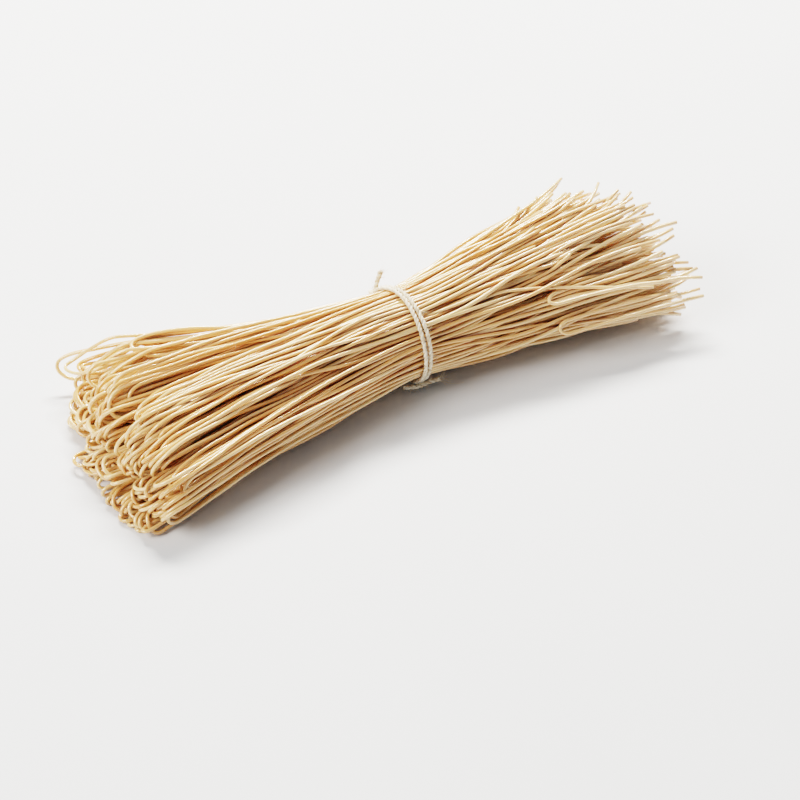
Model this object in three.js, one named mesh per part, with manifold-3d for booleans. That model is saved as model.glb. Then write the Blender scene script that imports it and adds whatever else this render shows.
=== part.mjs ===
// A tied bundle of dried sweet potato noodles, lying on its side.
// Each noodle is folded in half: its bend shows at the loop end (-X), its two cut tips at the cut end (+X).
// The noodles are gathered into a round waist by two turns of twine, and fan out to both ends.
// Millimetres, +Z up. X runs along the bundle, and the tie stands at x = 0 until the bundle is centred.

import * as THREE from 'three';
import { mergeVertices } from 'three/addons/utils/BufferGeometryUtils.js';
import Module from 'manifold-3d';

const wasm = await Module();
wasm.setup();

// Driving dimensions
const NOODLE_DIAMETER = 2.1; // over the corners of its few sides
const TWINE_DIAMETER = 2.1;
const WAIST_RADIUS = 23.0; // outside of the noodles under the tie
const WAIST_HEIGHT = 25.6; // axis of the waist above the surface that the bundle lies on
const TIE_GAP = 0.3; // between the twine and the noodles
const HITCH_ANGLE = 30; // degrees from +Y towards +Z, where the hitch sits at the upper back
const LOWER_TAIL_ANGLE = 234; // degrees, where the other tail crosses the turns at the lower front

// Each fan: its reach from the tie, its half width to the front and back, its half height and its middle,
// and the share of its reach over which the waist eases into it
const LOOP_END = { reach: 166, front: 60, back: 80, halfHeight: 22, y: -2, z: 22, rounding: 0.3 };
const CUT_END = { reach: 139, front: 50, back: 50, halfHeight: 28, y: 14, z: 28, rounding: 0.15 };
const SLUMP = 0.28; // share by which a fan is wider at its foot than at its middle

// Where the tips lie: the loops bow back from their middle and lean in with height, and the cut runs aslant
// and leans in above its middle
const LOOP_TIPS = { middleY: 10, footZ: 6, bowFront: 0.002, bowBack: 0.0065, lean: 0.6 };
const LOOSE_TIP = -140; // outer loops reach at least this far, so that those at the back hang out of the core
const CUT_TIPS = { slant: 0.42, squareFromY: -16, lean: 0.1 };

// How far the core stays behind the tips, and how far a noodle sways from its line
const CORE_INSET = { loop: 11, cut: 9 };
const SWAY = { outer: 1.2, loop: 0.8, stub: 1.5, settled: 70 };

// Fused pieces, and how finely each is divided
const FOLDED_NOODLES = 18;
const INNER_LOOPS = 15;
const CUT_STUBS = 24;
const NOODLE_SIDES = 5;
const LEG_STEPS = 10;
const BURIED_LEG_STEPS = 2;
const BEND_STEPS = 8;
const STUB_STEPS = 3;
const CORE_SIDES = 30;
const CORE_STEPS = 20;
const TWINE_SIDES = 6;
const RING_STEPS = 40;

const NOODLE_COLOR = 0xd0a66e;
const TWINE_COLOR = 0xd2bb9d;
const SEED = 11;

const noodleRadius = NOODLE_DIAMETER / 2;
const restingHeight = 0.9 * noodleRadius; // of a noodle that lies on the surface, pressed a little flat
const twineRadius = TWINE_DIAMETER / 2;

THREE.MathUtils.seededRandom(SEED);

/** Seeded random number between two limits. */
function random(low, high) {
  return THREE.MathUtils.lerp(low, high, THREE.MathUtils.seededRandom());
}

/** Closed geometry as a solid that can be joined and cut. */
function solid(geometry) {
  geometry.deleteAttribute('normal');
  geometry.deleteAttribute('uv');
  const merged = mergeVertices(geometry, 1e-4);
  return new wasm.Manifold(new wasm.Mesh({
    numProp: 3,
    vertProperties: Float32Array.from(merged.attributes.position.array),
    triVerts: Uint32Array.from(merged.index.array),
  }));
}

/** The largest body of a joined solid by its outer skin, so sealed hollows are filled and scraps dropped. */
function outerBody(joined) {
  const bodies = joined.decompose();
  return bodies.reduce((best, body) => (body.volume() > best.volume() ? body : best));
}

/** Named mesh of a solid. */
function meshOf(name, body, material) {
  const { vertProperties, triVerts } = body.getMesh();
  const geometry = new THREE.BufferGeometry();
  geometry.setAttribute('position', new THREE.BufferAttribute(vertProperties, 3));
  geometry.setIndex(new THREE.BufferAttribute(triVerts, 1));
  geometry.computeVertexNormals();
  const mesh = new THREE.Mesh(geometry, material);
  mesh.name = name;
  return mesh;
}

/** Round bar of a few sides along a curve. */
function bar(curve, radius, sides, steps) {
  const corners = Array.from({ length: sides }, (_, i) => {
    const angle = (2 * Math.PI * i) / sides;
    return new THREE.Vector2(radius * Math.cos(angle), radius * Math.sin(angle));
  });
  return solid(new THREE.ExtrudeGeometry(new THREE.Shape(corners), {
    steps,
    extrudePath: curve,
    bevelEnabled: false,
  }));
}

/** How far a strand has gone from its place in the waist (0) to its place in a fan (1). */
function flare(end, share) {
  return ((1 + end.rounding) * share * share) / (share + end.rounding);
}

/** Place (y, z) in a fan of the strand whose address in the unit disc is (across, up). */
function fanPlace(end, address) {
  const halfWidth = address.x > 0 ? end.back : end.front;
  const y = end.y + halfWidth * address.x * (1 - SLUMP * address.y);
  const z = end.z + end.halfHeight * address.y;
  return new THREE.Vector2(y, z);
}

/** Place (y, z) at station x of the strand with an address, from the waist out into a fan. */
function strandPlace(x, address) {
  const end = x < 0 ? LOOP_END : CUT_END;
  const place = address.clone().multiplyScalar(WAIST_RADIUS - noodleRadius);
  place.y += WAIST_HEIGHT;
  return place.lerp(fanPlace(end, address), flare(end, Math.abs(x) / end.reach));
}

/** Station of the loop tips at an address: furthest out low in the middle, shorter at the top and back. */
function loopTip(address) {
  const place = fanPlace(LOOP_END, address);
  const across = place.x - LOOP_TIPS.middleY;
  const bow = across > 0 ? LOOP_TIPS.bowBack : LOOP_TIPS.bowFront;
  return -LOOP_END.reach + bow * across * across + LOOP_TIPS.lean * (place.y - LOOP_TIPS.footZ);
}

/** Station of the cut tips at an address: the cut runs aslant, shorter at the back and the top. */
function cutTip(address) {
  const place = fanPlace(CUT_END, address);
  const slanted = CUT_END.reach - CUT_TIPS.slant * Math.max(place.x, CUT_TIPS.squareFromY);
  return slanted - CUT_TIPS.lean * Math.max(place.y - CUT_END.z, 0);
}

/** Address in the unit disc at an angle from +Y towards +Z. */
function addressAt(angle, radius) {
  return new THREE.Vector2(radius * Math.cos(angle), radius * Math.sin(angle));
}

/** Even spread of addresses over a disc, by turns of the golden angle. */
function spreadAddresses(count, radius) {
  const goldenAngle = Math.PI * (3 - Math.sqrt(5));
  return Array.from({ length: count }, (_, i) => {
    return addressAt(i * goldenAngle, radius * Math.sqrt((i + 0.5) / count));
  });
}

/** A strand's slow sway to and fro, which dies out at the waist. */
class Sway {
  constructor(size) {
    this.size = new THREE.Vector2(random(-size, size), random(-size, size));
    this.phase = random(0, 2 * Math.PI);
    this.turnsPerMm = random(0.02, 0.05);
  }

  /** Offset (y, z) at station x. */
  at(x) {
    const share = Math.min(1, Math.abs(x) / SWAY.settled);
    return this.size.clone().multiplyScalar(share * Math.sin(this.phase + this.turnsPerMm * x));
  }
}

/** Centre line of a folded noodle: a leg from its cut tip, the bend at the loop end, the other leg back. */
class FoldedCurve extends THREE.Curve {
  constructor({ addresses, cuts, tip, bend, legSteps, sway }) {
    super();
    Object.assign(this, { addresses, cuts, tip, bend, sway });
    this.steps = 2 * legSteps + BEND_STEPS;
    this.legShare = legSteps / this.steps;
  }

  /** Station a share of the way along a leg: its steps draw in towards the tie where the leg passes it. */
  station(leg, share) {
    const start = this.tip + this.bend;
    const cut = this.cuts[leg];
    if (cut < 0) {
      return THREE.MathUtils.lerp(cut, start, share);
    }
    const side = 1 - 2 * share;
    return (side > 0 ? cut : -start) * side * Math.sqrt(Math.abs(side));
  }

  /** Point of one leg at station x, no lower than the surface that the bundle lies on. */
  legPoint(leg, x) {
    const place = strandPlace(x, this.addresses[leg]).add(this.sway.at(x));
    return new THREE.Vector3(x, place.x, Math.max(place.y, restingHeight));
  }

  /** The first and last shares of t are the legs, and between them is the bend, half an ellipse. */
  getPoint(t, target = new THREE.Vector3()) {
    if (t <= this.legShare) {
      return target.copy(this.legPoint(0, this.station(0, t / this.legShare)));
    }
    if (t >= 1 - this.legShare) {
      return target.copy(this.legPoint(1, this.station(1, (1 - t) / this.legShare)));
    }
    const turn = (Math.PI * (t - this.legShare)) / (1 - 2 * this.legShare);
    const x = this.tip + this.bend * (1 - Math.sin(turn));
    return target.copy(this.legPoint(0, x)).lerp(this.legPoint(1, x), (1 - Math.cos(turn)) / 2);
  }

  /** Steps follow t and not the length, so that the bend has its own share of them. */
  getPointAt(u, target) {
    return this.getPoint(u, target);
  }

  getTangentAt(u, target) {
    return this.getTangent(u, target);
  }
}

/** Core of the bundle: the hourglass inside the outer noodles, full at the waist so that they join it. */
function core() {
  const waistSkin = new THREE.Vector2(0.975, 0.975);
  const fanSkin = new THREE.Vector2(0.955, 0.87);
  const geometry = new THREE.CylinderGeometry(1, 1, 1, CORE_SIDES, CORE_STEPS);
  const position = geometry.attributes.position;
  for (let i = 0; i < position.count; i += 1) {
    const rim = new THREE.Vector2(position.getZ(i), position.getX(i));
    const low = loopTip(rim) + CORE_INSET.loop;
    const high = cutTip(rim) - CORE_INSET.cut;
    const x = THREE.MathUtils.lerp(low, high, position.getY(i) + 0.5);
    const share = THREE.MathUtils.smoothstep(Math.abs(x), 6, 40);
    const address = rim.multiply(waistSkin.clone().lerp(fanSkin, share));
    const place = strandPlace(x, address);
    position.setXYZ(i, x, place.x, place.y);
  }
  return solid(geometry);
}

/** Folded noodles round the outside, whole from cut tips to loop. */
function foldedNoodles() {
  const pitch = (2 * Math.PI) / FOLDED_NOODLES;
  return Array.from({ length: FOLDED_NOODLES }, (_, i) => {
    const angle = pitch * (i + random(-0.12, 0.12));
    const halfFold = pitch * random(0.2, 0.29);
    const addresses = [addressAt(angle - halfFold, 1), addressAt(angle + halfFold, 1)];
    const curve = new FoldedCurve({
      addresses,
      cuts: addresses.map((address) => cutTip(address) + random(-9, 4)),
      tip: Math.min(loopTip(addressAt(angle, 1)), LOOSE_TIP) + random(-5, 5),
      bend: random(6, 11),
      legSteps: LEG_STEPS,
      sway: new Sway(SWAY.outer),
    });
    return bar(curve, noodleRadius, NOODLE_SIDES, curve.steps);
  });
}

/** Bends of inner noodles that stand out of the core at the loop end. */
function innerLoops() {
  const buried = 34;
  const heightRatio = 1.8; // a fan is lower than it is wide, so an upright bend takes a longer step
  return spreadAddresses(INNER_LOOPS, 0.72).map((address) => {
    const fold = addressAt(random(0, Math.PI), random(0.08, 0.13));
    fold.y *= heightRatio;
    const tip = loopTip(address) + random(-5, 6);
    const curve = new FoldedCurve({
      addresses: [address.clone().add(fold), address.clone().sub(fold)],
      cuts: [tip + buried, tip + buried],
      tip,
      bend: random(6, 10),
      legSteps: BURIED_LEG_STEPS,
      sway: new Sway(SWAY.loop),
    });
    return bar(curve, noodleRadius, NOODLE_SIDES, curve.steps);
  });
}

/** Tips of inner noodles that stand out of the core at the cut end. */
function cutStubs() {
  const buried = 26;
  return spreadAddresses(CUT_STUBS, 0.8).map((address) => {
    const tip = cutTip(address) + random(-8, 4);
    const sway = new Sway(SWAY.stub);
    const points = [tip - buried, tip - buried / 2, tip].map((x) => {
      const place = strandPlace(x, address).add(sway.at(x));
      return new THREE.Vector3(x, place.x, place.y);
    });
    return bar(new THREE.CatmullRomCurve3(points), noodleRadius, NOODLE_SIDES, STUB_STEPS);
  });
}

/** The noodles: core and outer pieces in one body, with a flat foot where they lie on the surface. */
function noodlesBody() {
  const depth = 40;
  const under = new THREE.BoxGeometry(2 * (LOOP_END.reach + CUT_END.reach), 4 * LOOP_END.back, depth);
  under.translate(0, 0, -depth / 2);
  const pieces = [...foldedNoodles(), ...innerLoops(), ...cutStubs()];
  const joined = pieces.reduce((body, piece) => body.add(piece), core());
  return outerBody(joined.subtract(solid(under)));
}

/** Point on or over the tie's ring, at an angle from +Y towards +Z. */
function ringPoint(x, angle, radius) {
  return new THREE.Vector3(x, radius * Math.cos(angle), WAIST_HEIGHT + radius * Math.sin(angle));
}

/** The twine: two turns side by side, a hitch that grips both at the upper back, and its two loose tails. */
function twineBody() {
  const ringRadius = WAIST_RADIUS + TIE_GAP + twineRadius;
  const turnOffset = 0.8 * twineRadius;
  const turn = (x) => {
    const ring = new THREE.TorusGeometry(ringRadius, twineRadius, TWINE_SIDES, RING_STEPS);
    ring.rotateY(Math.PI / 2);
    ring.translate(x, 0, WAIST_HEIGHT);
    return solid(ring);
  };

  const hitchAngle = THREE.MathUtils.degToRad(HITCH_ANGLE);
  const hitch = new THREE.TorusGeometry(2.1 * twineRadius, twineRadius, TWINE_SIDES, 14);
  hitch.rotateX(hitchAngle - Math.PI / 2);
  const hitchPlace = ringPoint(-2.2 * twineRadius, hitchAngle, ringRadius + 1.2 * twineRadius);
  hitch.translate(hitchPlace.x, hitchPlace.y, hitchPlace.z);

  const upperTail = new THREE.CatmullRomCurve3([
    ringPoint(-3, hitchAngle, ringRadius + twineRadius),
    ringPoint(-2.6, hitchAngle + 0.19, ringRadius + 3.8),
    ringPoint(-0.5, hitchAngle + 0.31, ringRadius + 8),
  ]);
  const lowerAngle = THREE.MathUtils.degToRad(LOWER_TAIL_ANGLE);
  const lowerTail = new THREE.CatmullRomCurve3([
    ringPoint(-8, lowerAngle, ringRadius + 0.9),
    ringPoint(0, lowerAngle, ringRadius + 1.6),
    ringPoint(11, lowerAngle - 0.05, ringRadius + 2.2),
  ]);

  return [
    turn(turnOffset),
    solid(hitch),
    bar(upperTail, twineRadius, TWINE_SIDES, 6),
    bar(lowerTail, twineRadius, TWINE_SIDES, 6),
  ].reduce((body, piece) => body.add(piece), turn(-turnOffset));
}

const noodleMaterial = new THREE.MeshStandardMaterial({ color: NOODLE_COLOR, roughness: 0.42, metalness: 0 });
const twineMaterial = new THREE.MeshStandardMaterial({ color: TWINE_COLOR, roughness: 0.95, metalness: 0 });

const bundle = new THREE.Group();
bundle.add(meshOf('noodles', noodlesBody(), noodleMaterial));
bundle.add(meshOf('twine_tie', outerBody(twineBody()), twineMaterial));

// The origin is under the middle of the bundle's box, on the surface that it lies on
const extent = new THREE.Box3().setFromObject(bundle);
const middle = extent.getCenter(new THREE.Vector3());
bundle.position.set(-middle.x, -middle.y, -extent.min.z);

export default bundle;
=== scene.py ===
"""Looks of a tied bundle of dried sweet potato noodles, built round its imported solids.

Every noodle is folded once: its bend lies at the loop end (-X) and its two cut tips at the cut end (+X). The
noodles are laid as strands through a round waist, pushed apart until they only touch, and made into tubes.
Two turns of jute twine hold the waist. Sizes are in millimetres from the tie, unless a name says otherwise.
"""

import logging
import math
from dataclasses import dataclass, field
from enum import Enum
from typing import Optional, Sequence, Union

import bpy
import numpy as np
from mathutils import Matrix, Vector


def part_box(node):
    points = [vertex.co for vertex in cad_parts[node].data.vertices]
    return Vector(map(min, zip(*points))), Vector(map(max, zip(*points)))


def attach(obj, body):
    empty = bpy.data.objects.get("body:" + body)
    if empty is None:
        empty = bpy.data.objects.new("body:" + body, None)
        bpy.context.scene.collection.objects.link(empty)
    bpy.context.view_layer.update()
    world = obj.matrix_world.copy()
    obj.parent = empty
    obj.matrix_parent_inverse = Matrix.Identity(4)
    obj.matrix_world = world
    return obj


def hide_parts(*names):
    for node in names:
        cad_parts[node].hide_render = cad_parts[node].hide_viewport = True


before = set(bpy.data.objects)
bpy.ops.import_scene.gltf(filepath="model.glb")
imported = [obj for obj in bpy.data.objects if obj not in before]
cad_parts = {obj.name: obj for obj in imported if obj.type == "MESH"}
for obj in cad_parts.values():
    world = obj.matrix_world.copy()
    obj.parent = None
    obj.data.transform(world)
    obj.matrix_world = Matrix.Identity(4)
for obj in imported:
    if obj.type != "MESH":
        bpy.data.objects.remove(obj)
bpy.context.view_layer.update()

Array = np.ndarray
Pair = tuple[float, float]
Triple = tuple[float, float, float]
Colour = Triple
Key = Union[int, str]

MM = 0.001
X_AXIS = np.array([1.0, 0.0, 0.0])
LEGS = np.array([1.0, -1.0])[None, :, None]  # the side of the noodle's middle that each leg lies on
CAP_RISE = 0.3  # how far a bar's end stands out, against its radius
LOG = logging.getLogger("noodle_bundle")


def srgb(red: int, green: int, blue: int) -> Colour:
    """Linear colour of a screen colour given in steps of 0 to 255.

    Args:
        red: Red step.
        green: Green step.
        blue: Blue step.

    Returns:
        The linear red, green and blue.
    """
    steps = np.array([red, green, blue]) / 255.0
    linear = np.where(steps <= 0.04045, steps / 12.92, ((steps + 0.055) / 1.055) ** 2.4)
    return tuple(float(value) for value in linear)


def ease(share: Array) -> Array:
    """Smooth step from 0 to 1: three s squared less two s cubed, with s held between 0 and 1."""
    s = np.clip(share, 0.0, 1.0)
    return s * s * (3.0 - 2.0 * s)


def unit(vectors: Array) -> Array:
    """Vectors of length one along the last axis."""
    return vectors / np.maximum(np.linalg.norm(vectors, axis=-1, keepdims=True), 1e-12)


def along(paths: Array) -> Array:
    """Length run along each path: the running sum of its steps, from 0 at its first point."""
    steps = np.linalg.norm(np.diff(paths, axis=-2), axis=-1)
    return np.concatenate([np.zeros_like(steps[..., :1]), np.cumsum(steps, -1)], -1)


def bell(offset: Array, width: float) -> Array:
    """A bell, 1 in its middle and near 0 far from it: e to the minus square of the offset over the width."""
    return np.exp(-((offset / width) ** 2))


def angle_from(angle: Array, middle: float) -> Array:
    """Angles from a middle one, the short way round."""
    return np.angle(np.exp(1j * (angle - middle)))


def ring_angles(sides: int) -> Array:
    """Even angles once round a ring."""
    return 2.0 * math.pi * np.arange(sides) / sides


def outwards(angle: float) -> Array:
    """Direction away from the waist's axis, at an angle from +Y towards +Z."""
    return np.array([0.0, math.cos(angle), math.sin(angle)])


def catmull_rom(a: Array, b: Array, c: Array, d: Array, t: Array) -> Array:
    """Points between b and c, by share t, on the cubic that runs smoothly through a, b, c and d."""
    return b + 0.5 * t * (c - a + t * (2 * a - 5 * b + 4 * c - d + t * (3 * b - a - 3 * c + d)))


def frames(paths: Array, reference: Array) -> tuple[Array, Array, Array]:
    """Directions along and square to paths.

    The normal is the reference with its part along the path taken off; the binormal is square to both.

    Args:
        paths: Array (..., m, 3) of points.
        reference: Directions, of a shape that broadcasts to the paths, that no path runs along.

    Returns:
        The tangents, normals and binormals, each of the paths' shape.
    """
    tangent = unit(np.gradient(paths, axis=-2))
    normal = unit(reference - (reference * tangent).sum(-1, keepdims=True) * tangent)
    return tangent, normal, np.cross(tangent, normal)


def sunflower(count: int) -> Array:
    """Even addresses over the unit disc: radius by the root of the index, each a golden angle further on.

    Args:
        count: How many addresses.

    Returns:
        Array (count, 2) of addresses (across, up), from the middle out.
    """
    index = np.arange(count)
    radius = np.sqrt((index + 0.5) / count)
    angle = index * math.pi * (3.0 - math.sqrt(5.0))
    return np.stack([radius * np.cos(angle), radius * np.sin(angle)], -1)


def into_disc(address: Array) -> Array:
    """Addresses outside the unit disc, drawn in to its rim."""
    return address / np.maximum(1.0, np.linalg.norm(address, axis=-1, keepdims=True))


def gathered(address: Array, locks: int, pull: float, extent: float = 0.92) -> Array:
    """Addresses drawn towards the nearest of a few evenly spread locks, as strands that cling together.

    Args:
        address: Array (..., 2) of addresses in the unit disc.
        locks: Number of locks.
        pull: Share of the way that a strand is drawn to its lock.
        extent: Radius of the disc that the locks are spread over.

    Returns:
        The drawn addresses.
    """
    centres = extent * sunflower(locks)
    nearest = np.argmin(((address[..., None, :] - centres) ** 2).sum(-1), -1)
    return address + pull * (centres[nearest] - address)


def near_pairs(points: Array, reach: float) -> tuple[Array, Array]:
    """Pairs of points closer than a reach, found by sorting the points into cubes of that size.

    Args:
        points: Array (n, 3).
        reach: Greatest distance of a pair.

    Returns:
        Two index arrays, the first and second point of each pair.
    """
    cell = np.floor((points - points.min(0)) / reach).astype(np.int64) + 1
    sizes = cell.max(0) + 2
    key = (cell[:, 0] * sizes[1] + cell[:, 1]) * sizes[2] + cell[:, 2]
    order = np.argsort(key, kind="stable")
    sorted_key = key[order]
    firsts, seconds = [], []
    for dx, dy, dz in np.ndindex(3, 3, 3):
        target = key + ((dx - 1) * sizes[1] + dy - 1) * sizes[2] + dz - 1
        low = np.searchsorted(sorted_key, target, "left")
        count = np.searchsorted(sorted_key, target, "right") - low
        first = np.repeat(np.arange(len(points)), count)
        ramp = np.arange(count.sum()) - np.repeat(np.cumsum(count) - count, count)
        second = order[np.repeat(low, count) + ramp]
        keep = first < second
        firsts.append(first[keep])
        seconds.append(second[keep])
    first, second = np.concatenate(firsts), np.concatenate(seconds)
    close = ((points[first] - points[second]) ** 2).sum(-1) < reach * reach
    return first[close], second[close]


def pushed_apart(points: Array, first: Array, second: Array, gap: Array) -> Array:
    """How far each point moves so that its pairs stand a gap apart: half of each overlap, averaged over hits.

    Args:
        points: Array (n, d) of points.
        first: Index of each pair's first point.
        second: Index of each pair's second point.
        gap: Distance that each pair should keep.

    Returns:
        Array (n, d) of moves.
    """
    offset = points[first] - points[second]
    distance = np.sqrt((offset**2).sum(-1)) + 1e-9
    overlap = np.maximum(0.0, gap - distance)
    push = (0.5 * overlap / distance)[:, None] * offset
    total = len(points)
    move = np.stack([
        np.bincount(first, push[:, axis], total) - np.bincount(second, push[:, axis], total)
        for axis in range(points.shape[1])
    ], -1)
    hits = np.bincount(first, overlap > 0, total) + np.bincount(second, overlap > 0, total)
    return move / np.maximum(1.0, 0.5 * hits)[:, None]


@dataclass
class Surface:
    """Closed bars as whole arrays, ready to become one mesh.

    Attributes:
        vertices: Array (n, 3) in millimetres.
        quads: Array (q, 4) of vertex numbers.
        triangles: Array (t, 3) of vertex numbers.
        uv: Array (4 q + 3 t, 2), millimetres along a bar and turns round it, one row for each face corner.
        tone: Array (n,), one number from 0 to 1 for each bar.
        valley_shade: Array (n,), how far each vertex is shut in by other bars, from 0 to 1, which the finish
            paints as shade.
    """

    vertices: Array
    quads: Array
    triangles: Array
    uv: Array
    tone: Array
    valley_shade: Array

    @classmethod
    def bars(
        cls,
        paths: Array,
        radii: Array,
        sides: int,
        reference: Array,
        tone: Array,
        valley_shade: Optional[Array] = None,
    ) -> "Surface":
        """Round bars along paths, each ring being centre + r cos(a) n + r sin(a) b.

        Here n is the reference direction with its part along the path taken off, b is square to n and to the
        path, and a runs once round. A point a little beyond each end closes the bar.

        Args:
            paths: Array (n, m, 3) of centre lines.
            radii: Array (n, m) of radii.
            sides: Number of points in a ring.
            reference: Array (n, 3) or (n, m, 3) of directions that no path runs along.
            tone: Array (n,) of the bars' tones.
            valley_shade: Array (n, m, sides) of how far the skin is shut in, for painted shade, or None for
                not at all.

        Returns:
            The bars' surface.
        """
        count, rings = paths.shape[:2]
        tangent, normal, binormal = frames(paths, reference if reference.ndim == 3 else reference[:, None])
        angle = ring_angles(sides)
        around = np.cos(angle)[:, None] * normal[:, :, None] + np.sin(angle)[:, None] * binormal[:, :, None]
        skin = paths[:, :, None] + radii[:, :, None, None] * around
        rise = CAP_RISE * radii[:, [0, -1], None] * tangent[:, [0, -1]] * np.array([[-1.0], [1.0]])
        ends = paths[:, [0, -1]] + rise
        per_bar = rings * sides + 2
        vertices = np.concatenate([skin.reshape(count, -1, 3), ends], 1).reshape(-1, 3)

        base = (np.arange(count) * per_bar)[:, None, None]
        ring = (np.arange(rings - 1) * sides)[None, :, None]
        side = np.arange(sides)[None, None]
        following = (side + 1) % sides
        corners = [base + ring + side, base + ring + following]
        corners += [base + ring + sides + following, base + ring + sides + side]
        quads = np.stack(np.broadcast_arrays(*corners), -1).reshape(-1, 4)
        first_pole = base[:, 0] + rings * sides
        last_ring = base[:, 0] + (rings - 1) * sides
        caps = [
            np.stack(np.broadcast_arrays(first_pole, base[:, 0] + following[0], base[:, 0] + side[0]), -1),
            np.stack(np.broadcast_arrays(first_pole + 1, last_ring + side[0], last_ring + following[0]), -1),
        ]
        triangles = np.concatenate(caps, 1).reshape(-1, 3)

        length = along(paths)
        turn = np.arange(sides) / sides
        low, high = length[:, :-1, None], length[:, 1:, None]
        spans = [(low, turn), (low, turn + 1.0 / sides), (high, turn + 1.0 / sides), (high, turn)]
        uv_quads = np.stack([np.stack(np.broadcast_arrays(u, v), -1) for u, v in spans], -2).reshape(-1, 2)
        uv = np.concatenate([uv_quads, np.zeros((len(triangles) * 3, 2))])
        shut = np.zeros((count, per_bar))
        if valley_shade is not None:
            shut[:, :-2] = valley_shade.reshape(count, -1)
        return cls(vertices, quads, triangles, uv, np.repeat(tone, per_bar), shut.ravel())

    def object(self, name: str) -> bpy.types.Object:
        """A smooth mesh object of this surface, in metres, at the origin.

        Args:
            name: The object's name.

        Returns:
            The object, in the scene, with its UV map, tones, and how far each vertex is shut in for painted
            shade.
        """
        mesh = bpy.data.meshes.new(name)
        corners = np.concatenate([self.quads.ravel(), self.triangles.ravel()])
        quad_starts = 4 * np.arange(len(self.quads))
        starts = np.concatenate([quad_starts, 4 * len(self.quads) + 3 * np.arange(len(self.triangles))])
        mesh.vertices.add(len(self.vertices))
        mesh.vertices.foreach_set("co", (self.vertices * MM).astype(np.float32).ravel())
        mesh.loops.add(len(corners))
        mesh.loops.foreach_set("vertex_index", corners.astype(np.int32))
        mesh.polygons.add(len(starts))
        mesh.polygons.foreach_set("loop_start", starts.astype(np.int32))
        mesh.polygons.foreach_set("use_smooth", np.ones(len(starts), bool))
        mesh.update(calc_edges=True)
        mesh.uv_layers.new(name="UVMap").uv.foreach_set("vector", self.uv.astype(np.float32).ravel())
        # The second attribute holds how far each vertex is shut in, which the finish paints as shade.
        for label, values in (("tone", self.tone), ("valley_shade", self.valley_shade)):
            mesh.attributes.new(label, "FLOAT", "POINT").data.foreach_set("value", values.astype(np.float32))
        mesh.validate()
        piece = bpy.data.objects.new(name, mesh)
        bpy.context.scene.collection.objects.link(piece)
        return piece


def joined(surfaces: Sequence[Surface]) -> Surface:
    """Several surfaces as one, with their vertex numbers moved on and their face corners kept in order.

    Args:
        surfaces: The surfaces.

    Returns:
        One surface of all their bars.
    """
    starts = np.cumsum([0] + [len(part.vertices) for part in surfaces[:-1]])
    quad_corners = [4 * len(part.quads) for part in surfaces]
    return Surface(
        np.concatenate([part.vertices for part in surfaces]),
        np.concatenate([part.quads + start for part, start in zip(surfaces, starts)]),
        np.concatenate([part.triangles + start for part, start in zip(surfaces, starts)]),
        np.concatenate(
            [part.uv[:corners] for part, corners in zip(surfaces, quad_corners)]
            + [part.uv[corners:] for part, corners in zip(surfaces, quad_corners)]
        ),
        np.concatenate([part.tone for part in surfaces]),
        np.concatenate([part.valley_shade for part in surfaces]),
    )


class Wire:
    """An output socket of a material's nodes. Sums on it add Math nodes."""

    def __init__(self, paint: "Paint", socket: bpy.types.NodeSocket) -> None:
        """Holds the socket and the paint that it belongs to."""
        self.paint = paint
        self.socket = socket

    def _math(self, operation: str, first: "Value", second: "Value") -> "Wire":
        """A Math node on two values."""
        return self.paint.node("ShaderNodeMath", {"operation": operation}, {0: first, 1: second})

    def __add__(self, other: "Value") -> "Wire":
        """This value plus another."""
        return self._math("ADD", self, other)

    def __radd__(self, other: "Value") -> "Wire":
        """Another value plus this one."""
        return self._math("ADD", other, self)

    def __sub__(self, other: "Value") -> "Wire":
        """This value less another."""
        return self._math("SUBTRACT", self, other)

    def __rsub__(self, other: "Value") -> "Wire":
        """Another value less this one."""
        return self._math("SUBTRACT", other, self)

    def __mul__(self, other: "Value") -> "Wire":
        """This value times another."""
        return self._math("MULTIPLY", self, other)

    def __rmul__(self, other: "Value") -> "Wire":
        """Another value times this one."""
        return self._math("MULTIPLY", other, self)


Value = Union[Wire, float, Sequence[float]]


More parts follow.
